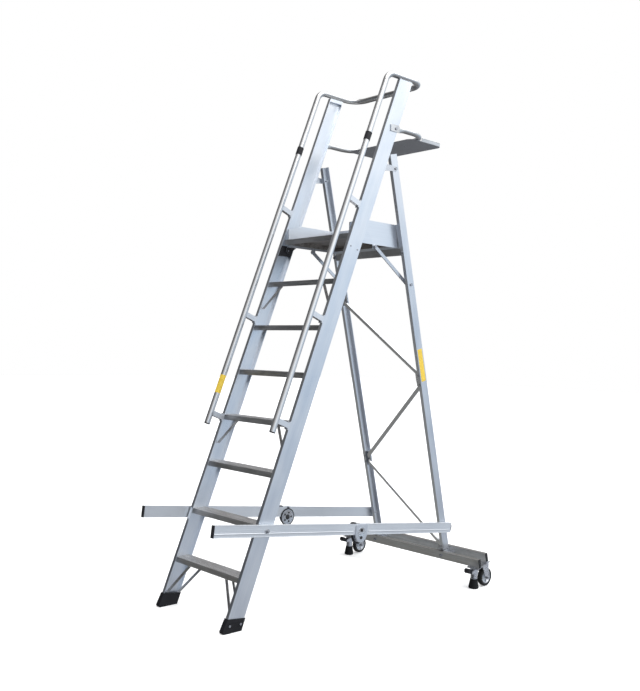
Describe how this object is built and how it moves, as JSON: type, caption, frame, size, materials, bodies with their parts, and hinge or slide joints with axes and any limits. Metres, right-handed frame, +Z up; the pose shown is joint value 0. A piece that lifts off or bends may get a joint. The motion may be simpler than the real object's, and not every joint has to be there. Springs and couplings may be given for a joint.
{
  "type": "rolling warehouse ladder",
  "caption": "Folding aluminium platform ladder with handrails, guard rail and tool tray on a castored rear frame with floor locks.",
  "frame": {"origin": "on the floor, under the middle of the open ladder's bounding box", "axes": "+Z up; +Y from the climbing side to the wheeled side; +X to the right of a person climbing"},
  "size_m": [1.12, 1.899, 2.919],
  "materials": {
    "profile_aluminium": "extruded, satin mill finish",
    "tread_aluminium": "grooved extrusion, dulled by use",
    "tube_aluminium": "drawn tube, fine length-wise brushing",
    "cast_aluminium": "cast and tumbled",
    "sheet_aluminium": "folded sheet",
    "bar_aluminium": "ribbed flat-sided extrusion, satin",
    "zinc_steel": "zinc plated",
    "bolt_steel": "zinc plated fasteners",
    "wheel_hub": "machined",
    "wheel_tyre": "moulded, slightly dusty",
    "black_rubber": "moulded, matte",
    "black_plastic": "fine grained moulding"
  },
  "bodies": {
    "ladder": {"stile_left": "profile_aluminium", "stile_right": "profile_aluminium", "stile_shoes": "black_rubber", "tread_1": "tread_aluminium", "tread_2": "tread_aluminium", "tread_3": "tread_aluminium", "tread_4": "tread_aluminium", "tread_5": "tread_aluminium", "tread_6": "tread_aluminium", "tread_7": "tread_aluminium", "tread_stays": "profile_aluminium", "stile_caps": "profile_aluminium", "platform_bearing_blocks": "black_plastic", "handrail_left": "tube_aluminium", "handrail_right": "tube_aluminium", "handrail_plugs": "black_plastic", "rail_sleeves": "black_plastic", "handrail_brackets": "cast_aluminium", "guard_rail": "tube_aluminium", "knee_rail": "tube_aluminium", "tray": "sheet_aluminium", "leg_pivot_brackets": "zinc_steel", "ladder_bolts": "bolt_steel"},
    "rear_frame": {"leg_left": "profile_aluminium", "leg_right": "profile_aluminium", "braces": "profile_aluminium", "leg_gussets": "zinc_steel", "leg_cross_beam": "profile_aluminium", "base_tube_front": "bar_aluminium", "base_tube_rear": "bar_aluminium", "base_tube_caps": "black_plastic", "castor_plates": "zinc_steel", "castor_forks": "zinc_steel", "frame_bolts": "bolt_steel", "lock_housings": "zinc_steel"},
    "platform": {"platform_deck": "tread_aluminium", "platform_toe_boards": "profile_aluminium", "platform_bolts": "bolt_steel"},
    "stay_left": {"platform_stay_left": "zinc_steel"},
    "wheel_left": {"hub_left": "wheel_hub", "tyre_left": "wheel_tyre"},
    "lock_left": {"lock_foot_left": "black_rubber", "lock_stem_left": "zinc_steel"},
    "pedal_left": {"lock_pedal_left": "black_plastic"},
    "front_bar_left": {"front_bar_left": "bar_aluminium", "bar_cap_left": "black_plastic", "knuckle_plate_left": "zinc_steel"},
    "rear_bar_left": {"rear_bar_left": "bar_aluminium", "knuckle_ring_left": "black_plastic"},
    "stay_right": {"platform_stay_right": "zinc_steel"},
    "wheel_right": {"hub_right": "wheel_hub", "tyre_right": "wheel_tyre"},
    "lock_right": {"lock_foot_right": "black_rubber", "lock_stem_right": "zinc_steel"},
    "pedal_right": {"lock_pedal_right": "black_plastic"},
    "front_bar_right": {"front_bar_right": "bar_aluminium", "bar_cap_right": "black_plastic", "knuckle_plate_right": "zinc_steel"},
    "rear_bar_right": {"rear_bar_right": "bar_aluminium", "knuckle_ring_right": "black_plastic"}
  },
  "joints": [
    {"name": "fold", "type": "hinge", "parent": "ladder", "child": "rear_frame", "pos_m": [0, 0.25662, 2.38999], "axis": [-1, 0, 0], "range_deg": [0, 33]},
    {"name": "platform_tilt", "type": "hinge", "parent": "ladder", "child": "platform", "pos_m": [0, -0.0502, 1.938], "axis": [1, 0, 0], "range_deg": [0, 57.98]},
    {"name": "stay_swing_left", "type": "hinge", "parent": "platform", "child": "stay_left", "pos_m": [-0.2545, 0.1438, 1.95], "axis": [-1, 0, 0], "range_deg": [0, 112.3]},
    {"name": "bar_lift_left", "type": "hinge", "parent": "ladder", "child": "front_bar_left", "pos_m": [-0.3055, -0.6202, 0.474], "axis": [1, 0, 0], "range_deg": [0, 84.77]},
    {"name": "bar_fold_left", "type": "hinge", "parent": "front_bar_left", "child": "rear_bar_left", "pos_m": [-0.3055, 0.0395, 0.373], "axis": [-1, 0, 0], "range_deg": [0, 168.54]},
    {"name": "wheel_spin_left", "type": "hinge", "parent": "rear_frame", "child": "wheel_left", "pos_m": [-0.522, 0.8955, 0.0548], "axis": [1, 0, 0], "continuous": true},
    {"name": "lock_lift_left", "type": "slide", "parent": "rear_frame", "child": "lock_left", "axis": [0, 0, 1], "range_m": [0, 0.014]},
    {"name": "pedal_tilt_left", "type": "hinge", "parent": "rear_frame", "child": "pedal_left", "pos_m": [-0.519, 0.7608, 0.099], "axis": [-1, 0, 0], "range_deg": [0, 25]},
    {"name": "stay_swing_right", "type": "hinge", "parent": "platform", "child": "stay_right", "pos_m": [0.2545, 0.1438, 1.95], "axis": [-1, 0, 0], "range_deg": [0, 112.3]},
    {"name": "bar_lift_right", "type": "hinge", "parent": "ladder", "child": "front_bar_right", "pos_m": [0.3055, -0.6202, 0.474], "axis": [1, 0, 0], "range_deg": [0, 84.77]},
    {"name": "bar_fold_right", "type": "hinge", "parent": "front_bar_right", "child": "rear_bar_right", "pos_m": [0.3055, 0.0395, 0.373], "axis": [-1, 0, 0], "range_deg": [0, 168.54]},
    {"name": "wheel_spin_right", "type": "hinge", "parent": "rear_frame", "child": "wheel_right", "pos_m": [0.522, 0.8955, 0.0548], "axis": [1, 0, 0], "continuous": true},
    {"name": "lock_lift_right", "type": "slide", "parent": "rear_frame", "child": "lock_right", "axis": [0, 0, 1], "range_m": [0, 0.014]},
    {"name": "pedal_tilt_right", "type": "hinge", "parent": "rear_frame", "child": "pedal_right", "pos_m": [0.519, 0.7608, 0.099], "axis": [-1, 0, 0], "range_deg": [0, 25]}
  ],
  "couplings": [
    {"joint": "platform_tilt", "follows": "fold", "ratio": 1.7418},
    {"joint": "stay_swing_left", "follows": "fold", "ratio": 3.3879},
    {"joint": "bar_lift_left", "follows": "fold", "ratio": 2.5536},
    {"joint": "bar_fold_left", "follows": "fold", "ratio": 5.0921},
    {"joint": "pedal_tilt_left", "follows": "lock_lift_left", "rad_per_m": 31.011},
    {"joint": "stay_swing_right", "follows": "fold", "ratio": 3.3879},
    {"joint": "bar_lift_right", "follows": "fold", "ratio": 2.5536},
    {"joint": "bar_fold_right", "follows": "fold", "ratio": 5.0921},
    {"joint": "pedal_tilt_right", "follows": "lock_lift_right", "rad_per_m": 31.011}
  ]
}
